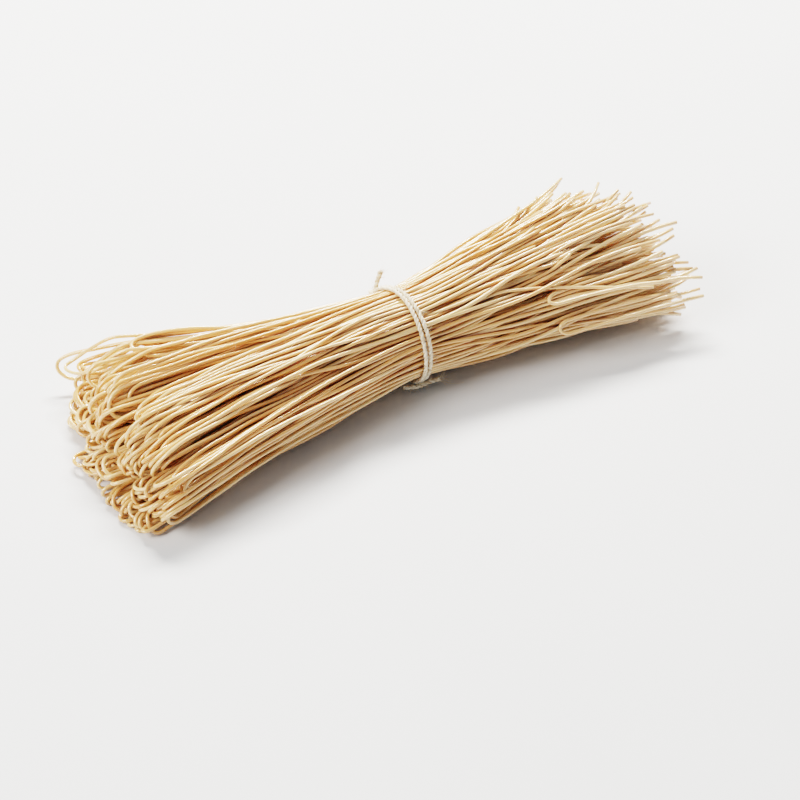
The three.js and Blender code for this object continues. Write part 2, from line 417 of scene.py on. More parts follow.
class Paint:
    """A material and the nodes that are added to it."""

    def __init__(self, name: str) -> None:
        """Starts a material with no nodes.

        Args:
            name: The material's name.
        """
        self.material = bpy.data.materials.new(name)
        self.material.use_nodes = True
        self.tree = self.material.node_tree
        self.tree.nodes.clear()

    @staticmethod
    def _socket(sockets: bpy.types.bpy_prop_collection, key: Key) -> bpy.types.NodeSocket:
        """One of a node's sockets.

        Args:
            sockets: The node's inputs or outputs.
            key: The socket's number, identifier or name.

        Returns:
            The socket.
        """
        if isinstance(key, int):
            return sockets[key]
        return next(socket for socket in sockets if key in (socket.identifier, socket.name))

    def _feed(self, socket: bpy.types.NodeSocket, value: Value) -> None:
        """Links a wire to a socket, or sets the socket's value, with alpha added to a colour.

        Args:
            socket: The input socket.
            value: The wire or value.
        """
        if isinstance(value, Wire):
            self.tree.links.new(value.socket, socket)
        elif socket.type == "RGBA" and len(value) == 3:
            socket.default_value = (*value, 1.0)
        else:
            socket.default_value = value

    def node(
        self,
        kind: str,
        settings: Optional[dict[str, object]] = None,
        inputs: Optional[dict[Key, Value]] = None,
        output: Key = 0,
    ) -> Wire:
        """Adds a node.

        Args:
            kind: The node's type.
            settings: Its properties, set first.
            inputs: The values or wires of its sockets.
            output: The output socket that is wanted.

        Returns:
            A wire from that output.
        """
        made = self.tree.nodes.new(kind)
        for name, setting in (settings or {}).items():
            setattr(made, name, setting)
        for key, value in (inputs or {}).items():
            self._feed(self._socket(made.inputs, key), value)
        return Wire(self, self._socket(made.outputs, output))

    def place(self) -> Wire:
        """A point's place in the frame, in metres."""
        return self.node("ShaderNodeTexCoord", output="Object")

    def strand(self) -> Wire:
        """A point's place on its bar: millimetres along it and turns round it."""
        return self.node("ShaderNodeTexCoord", output="UV")

    def attribute(self, name: str) -> Wire:
        """A number that the mesh holds for each point."""
        return self.node("ShaderNodeAttribute", {"attribute_name": name}, output="Fac")

    def part(self, where: Wire, axis: str) -> Wire:
        """A place along one axis."""
        return self.node("ShaderNodeSeparateXYZ", None, {"Vector": where}, axis)

    def mix(self, factor: Value, first: Value, second: Value) -> Wire:
        """A colour between two.

        Args:
            factor: From 0 for the first to 1 for the second.
            first: The first colour.
            second: The second colour.

        Returns:
            A wire with the colour.
        """
        settings = {"data_type": "RGBA", "clamp_factor": True}
        inputs = {"Factor_Float": factor, "A_Color": first, "B_Color": second}
        return self.node("ShaderNodeMix", settings, inputs, "Result_Color")

    def noise(self, where: Wire, scale: float, detail: float = 2.0) -> Wire:
        """Soft noise from 0 to 1 at a place."""
        return self.node("ShaderNodeTexNoise", None, {"Vector": where, "Scale": scale, "Detail": detail})

    def stretched(self, where: Wire, scale: Sequence[float]) -> Wire:
        """A place with each axis scaled."""
        return self.node("ShaderNodeMapping", None, {"Vector": where, "Scale": tuple(scale)})

    def step(self, value: Wire, low: float, high: float) -> Wire:
        """Smooth rise from 0 to 1 as a value goes from low to high."""
        settings = {"interpolation_type": "SMOOTHSTEP"}
        return self.node("ShaderNodeMapRange", settings, {"Value": value, "From Min": low, "From Max": high})

    def bump(self, height: Wire, strength: float, distance: float) -> Wire:
        """A normal raised by a height, with the distance in metres."""
        inputs = {"Height": height, "Strength": strength, "Distance": distance}
        return self.node("ShaderNodeBump", None, inputs)

    def finish(self, inputs: dict[Key, Value]) -> bpy.types.Material:
        """Closes the material with a Principled shader.

        Args:
            inputs: The values or wires of the shader's sockets.

        Returns:
            The material.
        """
        shader = self.node("ShaderNodeBsdfPrincipled", None, inputs)
        output = self.tree.nodes.new("ShaderNodeOutputMaterial")
        self.tree.links.new(shader.socket, output.inputs["Surface"])
        return self.material


@dataclass(frozen=True)
class NoodleFinish:
    """Dried starch: straw with pale dust on its crests, paler towards the cut end by dust and painted
    highlight, and painted shade of dark amber where noodles meet.

    A rise is the pair of values between which a mask goes from 0 to 1. Those along and across the bundle
    are in metres. Relief is the bump's strength and its distance in metres.
    """

    straw: Colour = srgb(240, 201, 148)
    honey: Colour = srgb(226, 170, 108)
    # Dark amber of the painted shade where noodles meet.
    painted_shade_amber: Colour = srgb(150, 44, 20)
    # Pale dust colour, also used as painted highlight towards the cut end.
    bloom_and_highlight: Colour = srgb(252, 226, 190)
    gloss: Colour = (1.0, 0.92, 0.76)
    patch_scale: float = 40.0
    lump_scale: float = 240.0
    speckle_scale: float = 1100.0
    streak_stretch: Triple = (0.06, 8.0, 1.0)
    tone_weight: float = 0.7
    patch_weight: float = 0.5
    straw_rise: Pair = (0.2, 0.9)
    dust_rise: Pair = (0.48, 0.7)
    cut_rise: Pair = (0.05, 0.15)
    loop_rise: Pair = (0.09, 0.14)
    # Rise of the backlit back side, where the painted shade is weaker.
    backlit_rise: Pair = (0.0, 0.035)
    # Rise of the painted shade with how far the skin is shut in.
    valley_shade_rise: Pair = (0.1, 0.95)
    dust_bloom: float = 0.25
    # Paling towards the cut end, part dust and part painted highlight.
    cut_bloom_and_highlight: float = 0.4
    # Strength of the painted shade, and how much weaker it is towards the cut end, at the loops and on the
    # backlit back.
    valley_shade_depth: float = 0.75
    cut_shade_fade: float = 0.33
    loop_shade_fade: float = 0.6
    backlit_shade_fade: float = 0.15
    roughness: float = 0.11
    dust_roughness: float = 0.12
    coat: float = 0.85
    dust_coat: float = 0.4
    relief: Pair = (0.3, 0.0003)

    def make(self) -> bpy.types.Material:
        """Straw or honey by noodle and patch, then paler by dust, and towards the cut end by dust and painted
        highlight, then painted shade of dark amber where noodles meet.

        Returns:
            The noodles' material.
        """
        paint = Paint("noodle_starch")
        place, tone, valley_shade = paint.place(), paint.attribute("tone"), paint.attribute("valley_shade")
        patch = paint.noise(place, self.patch_scale)
        lump = paint.noise(place, self.lump_scale)
        speckle = paint.noise(place, self.speckle_scale)
        streak = paint.noise(paint.stretched(paint.strand(), self.streak_stretch), 1.0)
        dust = paint.step(0.5 * speckle + 0.5 * streak, *self.dust_rise)
        # Masks by place: the cut end pales the noodles and weakens the painted shade; the loop end and the
        # backlit back side weaken the painted shade.
        cut_end = paint.step(paint.part(place, "X"), *self.cut_rise)
        loop_end = paint.step(0.0 - paint.part(place, "X"), *self.loop_rise)
        back = paint.step(paint.part(place, "Y"), *self.backlit_rise)

        pale = paint.step(self.tone_weight * tone + self.patch_weight * patch, *self.straw_rise)
        colour = paint.mix(pale, self.honey, self.straw)
        # Paler by dust, and towards the cut end by dust and painted highlight.
        colour = paint.mix(self.dust_bloom * dust + self.cut_bloom_and_highlight * cut_end, colour, self.bloom_and_highlight)
        # Painted shade: dark amber where other noodles shut the skin in, weaker towards the cut end, at the
        # loops and on the backlit back.
        shade_amount = self.valley_shade_depth - self.cut_shade_fade * cut_end - self.loop_shade_fade * loop_end
        shade_amount = shade_amount - self.backlit_shade_fade * back
        colour = paint.mix(shade_amount * paint.step(valley_shade, *self.valley_shade_rise), colour, self.painted_shade_amber)
        return paint.finish({
            "Base Color": colour,
            "Roughness": self.roughness + self.dust_roughness * dust,
            "Normal": paint.bump(0.35 * speckle + 0.8 * streak + 0.9 * lump, *self.relief),
            "Specular IOR Level": 1.0,
            "Specular Tint": (*self.gloss, 1.0),
            "Coat Weight": self.coat - self.dust_coat * dust,
            "Coat Roughness": 0.08,
            "Subsurface Weight": 0.3,
            "Subsurface Radius": (1.0, 0.6, 0.3),
            "Subsurface Scale": 0.001,
        })


@dataclass(frozen=True)
class TwineFinish:
    """Jute twine: pale matt fibres laid aslant in each ply. Rises and relief as in the noodles' finish."""

    pale: Colour = srgb(253, 243, 221)
    tan: Colour = srgb(190, 150, 98)
    fibre_stretch: Triple = (0.5, 5.0, 1.0)
    fibre_scale: float = 2.0
    patch_scale: float = 260.0
    detail: float = 3.0
    pale_rise: Pair = (0.26, 0.66)
    roughness: float = 0.82
    fibre_roughness: float = 0.15
    relief: Pair = (0.9, 0.00025)

    def make(self) -> bpy.types.Material:
        """Tan or pale by fibre, patch and ply.

        Returns:
            The twine's material.
        """
        paint = Paint("jute_twine")
        strand = paint.stretched(paint.strand(), self.fibre_stretch)
        fibre = paint.noise(strand, self.fibre_scale, self.detail)
        patch = paint.noise(paint.place(), self.patch_scale, self.detail)
        shade = paint.step(0.5 * fibre + 0.35 * patch + 0.25 * paint.attribute("tone"), *self.pale_rise)
        return paint.finish({
            "Base Color": paint.mix(shade, self.tan, self.pale),
            "Roughness": self.roughness + self.fibre_roughness * fibre,
            "Normal": paint.bump(fibre + 0.4 * patch, *self.relief),
            "Sheen Weight": 0.25,
            "Sheen Roughness": 0.5,
        })


@dataclass(frozen=True)
class FloorFinish:
    """A plain pale studio floor."""

    pale: Colour = srgb(230, 233, 237)
    grey: Colour = srgb(222, 225, 229)
    cloud_scale: float = 6.0
    roughness: float = 0.85

    def make(self) -> bpy.types.Material:
        """Pale or grey by soft clouds.

        Returns:
            The floor's material.
        """
        paint = Paint("studio_floor")
        clouds = paint.noise(paint.place(), self.cloud_scale)
        colour = paint.mix(clouds, self.grey, self.pale)
        return paint.finish({"Base Color": colour, "Roughness": self.roughness})


@dataclass(frozen=True)
class Fan:
    """One fanned end of the bundle.

    Attributes:
        reach: Length from the tie to the fan's end.
        front: Half width to the front (-Y).
        back: Half width to the back (+Y).
        half_height: Half height.
        y: Place of the fan's middle across.
        z: Height of the fan's middle.
        slump: Share by which the fan is wider at its foot than at its middle.
        rounding: Share of the reach over which the waist eases into the fan.
    """

    reach: float
    front: float
    back: float
    half_height: float
    y: float
    z: float
    slump: float = 0.28
    rounding: float = 0.15

    def place(self, address: Array) -> Array:
        """Places at the fan's end: the middle plus half sizes times the address, wider towards the foot.

        Args:
            address: Array (..., 2) of addresses (across, up) in the unit disc.

        Returns:
            Array (..., 2) of places (y, z).
        """
        across, up = address[..., 0], address[..., 1]
        half_width = np.where(across > 0, self.back, self.front)
        y = self.y + half_width * across * (1.0 - self.slump * up)
        return np.stack([y, self.z + self.half_height * up], -1)

    def spread(self, distance: Array) -> Array:
        """Share gone from waist to fan: (1 + q) s squared over (s + q), with s the share of the reach."""
        share = np.maximum(distance, 0.0) / self.reach
        return (1.0 + self.rounding) * share**2 / (share + self.rounding)


@dataclass(frozen=True)
class LoopEnd(Fan):
    """The fanned end with the bends. Noodles of one bunch fold alike, so that their loops nest.

    Pairs are ranges, but droop is a least value and what is added to it at most. Bunch values are a
    bunch's own, and spreads are those of single noodles about them. Upright values make loops stand
    near the top: from which address up, over what rise, how much wider, and how far turned.
    """

    margin: float = 16.0
    overhang: float = 9.0
    locks: int = 9
    pull: float = 0.36
    stir: float = 0.11
    fill: float = 0.95
    bunches: int = 52
    bunch_opening: Pair = (7.0, 17.0)
    opening_spread: float = 0.12
    fold_spread: float = 0.18
    fold_flatness: float = 0.85
    upright_from: float = -0.3
    upright_over: float = 0.8
    upright_opening: float = 0.3
    upright_turn: float = 0.75
    bunch_depth: float = 7.0
    depth_start: float = 3.5
    depth_spread: float = 1.3
    recessed: int = 5
    recess: Pair = (12.0, 40.0)
    bunch_bend: Pair = (0.45, 0.75)
    bend_spread: float = 0.08
    droop_span: Pair = (16.0, 32.0)
    droop: Pair = (0.02, 0.22)
    bow_middle: float = 10.0
    bow_front: float = 0.002
    bow_back: float = 0.0065
    lean: float = 0.6
    lean_from: float = 6.0

    def tip(self, place: Array) -> Array:
        """Station of loop tips: furthest low in the middle, and shorter at the top and the back.

        Args:
            place: Array (..., 2) of places (y, z) at the fan's end.

        Returns:
            Array (...) of stations.
        """
        across = place[..., 0] - self.bow_middle
        bow = np.where(across > 0, self.bow_back, self.bow_front)
        return -self.reach + bow * across**2 + self.lean * (place[..., 1] - self.lean_from)


@dataclass(frozen=True)
class CutEnd(Fan):
    """The fanned end with the cut tips. Pairs are ranges."""

    margin: float = 22.0
    locks: int = 9
    pull: float = 0.14
    stir: float = 0.12
    crossing: float = 0.35
    crossing_stir: float = 3.5
    slant: float = 0.42
    square_from: float = -16.0
    lean: float = 0.1
    short_spread: float = 8.0
    unevenness: Pair = (-3.0, 7.0)
    broken: float = 0.4
    broken_off: Pair = (6.0, 66.0)
    curl: float = 2.0
    curly: float = 0.2
    curly_by: float = 2.0
    curl_length: Pair = (14.0, 38.0)
    curl_most: float = 1.3

    def tip(self, place: Array) -> Array:
        """Station of cut tips: the cut runs aslant, shorter at the back and at the top.

        Args:
            place: Array (..., 2) of places (y, z) at the fan's end.

        Returns:
            Array (...) of stations.
        """
        slant = self.slant * np.maximum(place[..., 0], self.square_from)
        lean = self.lean * np.maximum(place[..., 1] - self.z, 0.0)
        return self.reach - slant - lean


@dataclass(frozen=True)
class Wisps:
    """The loose noodles at the back of the loop end, and the lone loop that lies over them.

    Pairs are ranges, but fold and tip are a mean and a spread, and droop is a least value and what is
    added to it at most. The corner is the angle of the side of the waist that they come from.
    """

    count: int = 11
    corner: float = 0.25
    seats: tuple[Pair, Pair] = ((1.03, 0.05), (1.23, 0.5))
    lateness: float = 1.55
    opening: Pair = (13.0, 25.0)
    fold: Pair = (0.2, 0.3)
    tip: Pair = (-143.0, 3.5)
    span: Pair = (22.0, 44.0)
    droop: Pair = (0.4, 0.55)
    droop_power: float = 1.3
    slack: float = 0.3
    lone_seat: Pair = (1.2, 0.72)
    lone_opening: float = 42.0
    lone_tip: float = -122.0
    lone_droop: float = 0.1


@dataclass(frozen=True)
class Scraps:
    """The short noodles whose bends show at the front of the cut end. Angles are in degrees."""

    angles: Pair = (150.0, 184.0)
    tips: Pair = (67.0, 70.0)
    bend: float = 5.0
    waist_gap: float = 2.0
    cut_reach: float = 1.08
    cut_gap: float = 0.2
    shortest: float = 30.0


class Layer(Enum):
    """A quarter of the noodles, counted from the middle of the bundle out."""

    HEART = "noodles_heart"
    INNER = "noodles_inner"
    OUTER = "noodles_outer"
    RIM = "noodles_rim"


@dataclass
class NoodleBundle:
    """The folded noodles, laid as strands, settled against each other and made into tubes.

    Shade values say how a neighbour darkens a noodle's skin as painted shade: how near it is looked for, over
    what length it counts and how fast it fades, all in diameters, and how strong it is.
    """

    tie: Array
    waist_radius: float = 23.0
    waist_height: float = 25.6
    waist_inset: float = 1.2
    waist_half_length: float = 6.0
    leg_gap: float = 0.6
    loop_end: LoopEnd = LoopEnd(
        reach=166.0, front=60.0, back=80.0, half_height=22.0, y=-2.0, z=22.0, rounding=0.3
    )
    cut_end: CutEnd = CutEnd(reach=139.0, front=50.0, back=50.0, half_height=28.0, y=14.0, z=28.0)
    wisps: Wisps = Wisps()
    scraps: Scraps = Scraps()
    count: int = 250
    diameter: float = 1.9
    diameter_spread: float = 0.05
    diameter_waves: Pair = (0.02, 0.12)
    diameter_swell: float = 0.02
    tip_girth: float = 0.9
    loop_sway: float = 1.7
    cut_sway: float = 2.2
    sway_rise: float = 3.0
    leg_sag: float = 0.015
    seed: int = 7
    station_step: float = 4.0
    sides: int = 8
    leg_rings: int = 42
    zone_rings: int = 26
    bend_rings: int = 17
    loop_zone: float = 62.0
    zone_most: float = 0.45
    shade_near: float = 2.1
    shade_length: float = 2.5
    shade_fade: float = 0.35
    shade_strength: float = 1.2
    layers: dict[Layer, bpy.types.Object] = field(default_factory=dict)

    def lay(self) -> None:
        """Lays out each noodle's two legs as places (y, z) at stations along X, before they are pushed apart.

        A leg goes from its waist place towards its place in each fan by that fan's spread, with a slow
        sway, a droop of the loops at one end and a curl of the cut tips at the other.
        """
        n, loop_end, cut_end = self.count, self.loop_end, self.cut_end
        self.rng = np.random.default_rng(self.seed)
        first, last = -loop_end.reach - loop_end.margin, cut_end.reach + cut_end.margin
        self.stations = np.arange(first, last, self.station_step)
        self.radius = 0.5 * self.diameter * (1.0 + self.rng.normal(0.0, self.diameter_spread, n))
        self._sort()
        loop_middle = self._fold()
        loop = loop_middle[:, None] + 0.5 * LEGS * (self.fold * self.opening[:, None])[:, None]
        waist = self._waist_places()
        cut = self._cut_places()
        late = np.ones((n, 1, 1, 1))
        late[self.wisp] = self.wisps.lateness
        x = self.stations[:, None]
        legs = waist[:, :, None] + loop_end.spread(-x) ** late * (loop - waist)[:, :, None]
        legs = legs + cut_end.spread(x) * (cut - waist)[:, :, None]
        legs = legs + self._sway()
        self._end(loop_middle, cut)
        legs[..., 1] -= self._droop(loop_middle)[:, None]
        self.target = legs + self._curl()

    def _sort(self) -> None:
        """Gives noodles their address in the waist and their bunch, and picks the loose and short ones."""
        self.seat = sunflower(self.count)
        self.bunch = np.argmin(((self.seat[:, None] - sunflower(self.loop_end.bunches)) ** 2).sum(-1), -1)
        corner = np.array([math.cos(self.wisps.corner), math.sin(self.wisps.corner)])
        self.wisp = np.argsort(self.seat @ corner)[-self.wisps.count:]
        self.lone = self.wisp[0]
        rim = np.radians(self.scraps.angles)
        self.scrap = np.argmax(self.seat @ np.stack([np.cos(rim), np.sin(rim)]), 0)
        self.slack = np.ones((self.count, 1))
        self.slack[self.wisp] = self.wisps.slack
        self.slack[self.scrap] = 0.0

    def _fold(self) -> Array:
        """Sets how loops lie: the way from leg to leg, upright near the top, and how wide they open.

        Returns:
            Array (n, 2) of the places (y, z) of the loops' middles at the fan's end.
        """
        rng, n, end, wisps = self.rng, self.count, self.loop_end, self.wisps
        seat = into_disc(self.seat + rng.normal(0.0, end.stir, (n, 2)))
        seat = end.fill * gathered(seat, end.locks, end.pull)
        seat[self.wisp] = rng.uniform(*wisps.seats, (wisps.count, 2))
        seat[self.lone] = wisps.lone_seat
        upright = ease((seat[:, 1] - end.upright_from) / end.upright_over)
        opening = rng.uniform(*end.bunch_opening, end.bunches)[self.bunch]
        opening = opening * rng.normal(1.0, end.opening_spread, n) * (1.0 + end.upright_opening * upright)
        opening[self.wisp] = rng.uniform(*wisps.opening, wisps.count)
        angle = rng.uniform(0.0, math.pi, end.bunches)[self.bunch] + rng.normal(0.0, end.fold_spread, n)
        angle += end.upright_turn * upright * (0.5 * math.pi - angle)
        angle[self.wisp] = rng.normal(*wisps.fold, wisps.count)
        opening[self.lone], angle[self.lone] = wisps.lone_opening, 0.0
        angle[self.scrap] = np.radians(self.scraps.angles) + 0.5 * math.pi
        fold = np.stack([np.cos(angle), end.fold_flatness * np.sin(angle)], -1)
        middle = end.place(seat)
        crest = end.z + end.half_height * np.sqrt(np.maximum(1.0 - seat[:, 0] ** 2, 0.0))
        crest[self.wisp] = np.inf
        middle[:, 1] = np.minimum(middle[:, 1], crest - 0.5 * opening * fold[:, 1])
        self.fold, self.opening = fold, opening
        self.fold_normal = np.stack([np.zeros(n), -fold[:, 1], fold[:, 0]], -1)
        return middle

    def _waist_places(self) -> Array:
        """Places of the legs at the waist: two side by side at each noodle's address.

        Returns:
            Array (n, 2, 2) of places (y, z).
        """
        turn = self.rng.uniform(0.0, 2.0 * math.pi, self.count)
        apart = self.leg_gap * self.diameter * np.stack([np.cos(turn), np.sin(turn)], -1)
        place = (self.waist_radius - self.waist_inset) * self.seat[:, None] + LEGS * apart[:, None]
        place[self.scrap] += self.scraps.waist_gap * LEGS * self.fold[self.scrap][:, None]
        return place + np.array([0.0, self.waist_height])

    def _cut_places(self) -> Array:
        """Places of the legs at the cut end: near the noodle's address, or astray where it crosses others.

        Returns:
            Array (n, 2, 2) of places (y, z).
        """
        rng, n, end, scrap = self.rng, self.count, self.cut_end, self.scrap
        astray = np.where(rng.random((n, 2, 1)) < end.crossing, end.crossing_stir, 1.0)
        seat = into_disc(self.seat[:, None] + end.stir * astray * rng.normal(0.0, 1.0, (n, 2, 2)))
        seat = gathered(seat, end.locks, end.pull)
        seat[scrap] = (self.scraps.cut_reach * self.seat[scrap])[:, None]
        seat[scrap] += self.scraps.cut_gap * LEGS * self.fold[scrap][:, None]
        return end.place(seat)

    def _sway(self) -> Array:
        """A slow sway of each leg: three sines of falling size that die out at the waist.

        Returns:
            Array (n, 2, stations, 2) of moves.
        """
        n, x = self.count, self.stations
        share = np.where(x < 0, -x / self.loop_end.reach, x / self.cut_end.reach)
        grown = np.minimum(1.0, self.sway_rise * share)[:, None]
        sway = np.zeros((n, 2, len(x), 2))
        for waves in (1, 2, 3):
            phase = self.rng.uniform(0.0, 2.0 * math.pi, (n, 2, 1, 2))
            sizes = self.rng.normal(0.0, (self.loop_sway / waves, self.cut_sway / waves), (n, 2, 2))
            size = np.where(x < 0, sizes[:, :, :1], sizes[:, :, 1:])[..., None]
            sway += size * np.sin(waves * math.pi * share[:, None] + phase) * grown
        return sway

    def _end(self, loop_middle: Array, cut_place: Array) -> None:
        """Sets the stations of each noodle's loop tip and of its two cut tips, and the length of its bend.

        Args:
            loop_middle: Places (n, 2) of the loops' middles.
            cut_place: Places (n, 2, 2) of the legs at the cut end.
        """
        rng, n, end, cut_end, wisps = self.rng, self.count, self.loop_end, self.cut_end, self.wisps
        tip = end.tip(loop_middle) + np.abs(rng.normal(0.0, end.bunch_depth, end.bunches))[self.bunch]
        tip = tip - end.depth_start
        tip += rng.normal(0.0, end.depth_spread, n)
        tip[self.wisp] = rng.normal(*wisps.tip, wisps.count)
        early = rng.choice(n, end.recessed, replace=False)
        tip[early] += rng.uniform(*end.recess, end.recessed)
        tip[self.lone] = wisps.lone_tip
        self.tip = np.maximum(tip, -end.reach - end.overhang)
        bend_share = rng.uniform(*end.bunch_bend, end.bunches)[self.bunch]
        self.bend = self.opening * bend_share * rng.normal(1.0, end.bend_spread, n)
        self.tip[self.scrap], self.bend[self.scrap] = self.scraps.tips, self.scraps.bend
        cut = cut_end.tip(cut_place) - np.abs(rng.normal(0.0, cut_end.short_spread, (n, 2)))
        cut = cut + rng.uniform(*cut_end.unevenness, (n, 2))
        self.cut = cut - (rng.random((n, 2)) < cut_end.broken) * rng.uniform(*cut_end.broken_off, (n, 2))
        least = self.tip[self.scrap, None] + self.scraps.shortest
        self.cut[self.scrap] = np.maximum(self.cut[self.scrap], least)

    def _droop(self, loop_middle: Array) -> Array:
        """How far the loops hang: a share of their height, eased in over a span before the tip.

        Args:
            loop_middle: Places (n, 2) of the loops' middles.

        Returns:
            Array (n, stations) of drops.
        """
        rng, end, wisps, stations = self.rng, self.loop_end, self.wisps, self.stations
        span = rng.uniform(*end.droop_span, self.count)
        share = end.droop[0] + end.droop[1] * rng.random(self.count) ** 2
        span[self.wisp] = rng.uniform(*wisps.span, wisps.count)
        share[self.wisp] = wisps.droop[0] + wisps.droop[1] * rng.random(wisps.count) ** wisps.droop_power
        share[self.lone] = wisps.lone_droop
        share[self.scrap] = 0.0
        drop = share * np.maximum(loop_middle[:, 1] - self.diameter, 0.0)
        return drop[:, None] * ease((self.tip + span)[:, None] / span[:, None] - stations / span[:, None])

    def _curl(self) -> Array:
        """How far the cut tips curl aside: by the square of the share run of their last stretch.

        Returns:
            Array (n, 2, stations, 2) of moves.
        """
        rng, n, end = self.rng, self.count, self.cut_end
        curl = rng.normal(0.0, end.curl, (n, 2, 1, 2))
        curl = curl * np.where(rng.random((n, 2, 1, 1)) < end.curly, end.curly_by, 1.0)
        length = rng.uniform(*end.curl_length, (n, 2, 1))
        tail = np.clip((self.stations - self.cut[:, :, None]) / length + 1.0, 0.0, end.curl_most)
        return curl * (tail**2)[..., None]

    def settle(self, rounds: int = 150, rebuild: int = 8, push: float = 0.9, keep: float = 0.998) -> None:
        """Pushes the legs apart at every station until they only touch, held by the tie and the floor.

        At a station each leg is a disc. Overlapping discs are pushed apart, the moves are smoothed along X so
        that strands stay smooth, and they are held inside the tie's ring and above the floor.

        Args:
            rounds: Number of rounds.
            rebuild: Rounds between searches for neighbours.
            push: Share of a push that is made in a round.
            keep: Share of its drift that a leg keeps after a round.
        """
        n, x = self.count, self.stations
        stations = len(x)
        place, target = self.target.copy(), self.target
        start = self.tip + self.bend
        past = np.clip((start[:, None] - x) / self.bend[:, None], 0.0, 1.0)
        narrowing = np.sqrt(1.0 - past**2)[:, None, :, None]
        present = (x <= self.cut[:, :, None]) & (x >= self.tip[:, None, None])
        present = present.transpose(2, 0, 1).reshape(stations, 2 * n)
        noodle = np.repeat(np.arange(n), 2)
        tied = np.abs(x) < self.waist_half_length
        limit = np.where(tied, self.waist_radius - self.radius[:, None], np.inf)[:, None, :, None]
        axis = np.array([0.0, self.waist_height])
        sag = self.leg_sag * np.clip(np.abs(x) / self.loop_end.reach, 0.0, 1.0) ** 2
        floor = self.radius[:, None, None]
        for turn in range(rounds):
            middle = place.mean(1, keepdims=True)
            discs = (middle + (place - middle) * narrowing).transpose(2, 0, 1, 3).reshape(stations, 2 * n, 2)
            if turn % rebuild == 0:
                first, second, gap = self._touching(discs, present, noodle)
            move = pushed_apart(discs.reshape(-1, 2), first, second, gap)
            place = place + push * move.reshape(stations, n, 2, 2).transpose(1, 2, 0, 3)
            place[..., 1] -= sag
            drift = place - target
            for _ in range(2):
                drift[:, :, 1:-1] = 0.5 * drift[:, :, 1:-1] + 0.25 * (drift[:, :, :-2] + drift[:, :, 2:])
                drift[:, :, [0, -1]] = drift[:, :, [1, -2]]
            place = target + keep * drift
            out = place - axis
            distance = np.linalg.norm(out, axis=-1, keepdims=True)
            place = axis + out * np.minimum(1.0, limit / np.maximum(distance, 1e-9))
            place[..., 1] = np.maximum(place[..., 1], floor)
        self.place = place

    def _touching(self, discs: Array, present: Array, noodle: Array) -> tuple[Array, Array, Array]:
        """Pairs of legs of different noodles that are within two diameters of each other at a station.

        Args:
            discs: Array (stations, 2 n, 2) of the legs' places.
            present: Array (stations, 2 n), whether a leg reaches a station.
            noodle: Array (2 n,), the noodle of each leg.

        Returns:
            The first and second disc of each pair, numbered over all stations, and the gap that they keep.
        """
        firsts, seconds, gaps = [], [], []
        reach = (2.0 * self.diameter) ** 2
        for station, (points, here) in enumerate(zip(discs, present)):
            live = np.flatnonzero(here)
            distance = ((points[live, None] - points[live]) ** 2).sum(-1)
            i, j = np.nonzero(np.triu(distance < reach, 1))
            i, j = live[i], live[j]
            apart = noodle[i] != noodle[j]
            i, j = i[apart], j[apart]
            firsts.append(station * len(noodle) + i)
            seconds.append(station * len(noodle) + j)
            gaps.append(self.radius[noodle[i]] + self.radius[noodle[j]])
        return np.concatenate(firsts), np.concatenate(seconds), np.concatenate(gaps)

    def _legs_at(self, x: Array) -> Array:
        """Places of the legs between the settled stations, on smooth curves through them.

        Args:
            x: Array (n, 2, m) of stations.

        Returns:
            Array (n, 2, m, 2) of places (y, z).
        """
        along_x = (x - self.stations[0]) / self.station_step
        cell = np.clip(np.floor(along_x).astype(int), 1, len(self.stations) - 3)
        noodle, leg = np.arange(self.count)[:, None, None], np.arange(2)[None, :, None]
        knots = [self.place[noodle, leg, cell + step] for step in (-1, 0, 1, 2)]
        return catmull_rom(*knots, (along_x - cell)[..., None])

    def centre_lines(self) -> Array:
        """Centre lines: a leg from its cut tip, the bend as half an ellipse, and the other leg back.

        Returns:
            Array (n, rings, 3) of points.
        """
        start = self.tip + self.bend
        zone = start + np.minimum(self.loop_zone, self.zone_most * (self.cut.min(1) - start))
        far = np.linspace(0.0, 1.0, self.leg_rings, endpoint=False)
        close = np.linspace(0.0, 1.0, self.zone_rings, endpoint=False)
        x_far = self.cut[:, :, None] + (zone[:, None] - self.cut)[:, :, None] * far
        x_close = (zone[:, None] + (start - zone)[:, None] * close)[:, None]
        x_close = np.broadcast_to(x_close, (self.count, 2, len(close)))
        x_legs = np.concatenate([x_far, x_close], -1)
        legs = np.concatenate([x_legs[..., None], self._legs_at(x_legs)], -1)
        angle = np.linspace(0.0, math.pi, self.bend_rings)
        x_bend = start[:, None] - self.bend[:, None] * np.sin(angle)
        both = self._legs_at(np.repeat(x_bend[:, None], 2, 1))
        middle, half = both.mean(1), 0.5 * (both[:, 0] - both[:, 1])
        bend = np.concatenate([x_bend[..., None], middle + half * np.cos(angle)[:, None]], -1)
        return np.concatenate([legs[:, 0], bend, legs[:, 1, ::-1]], 1)

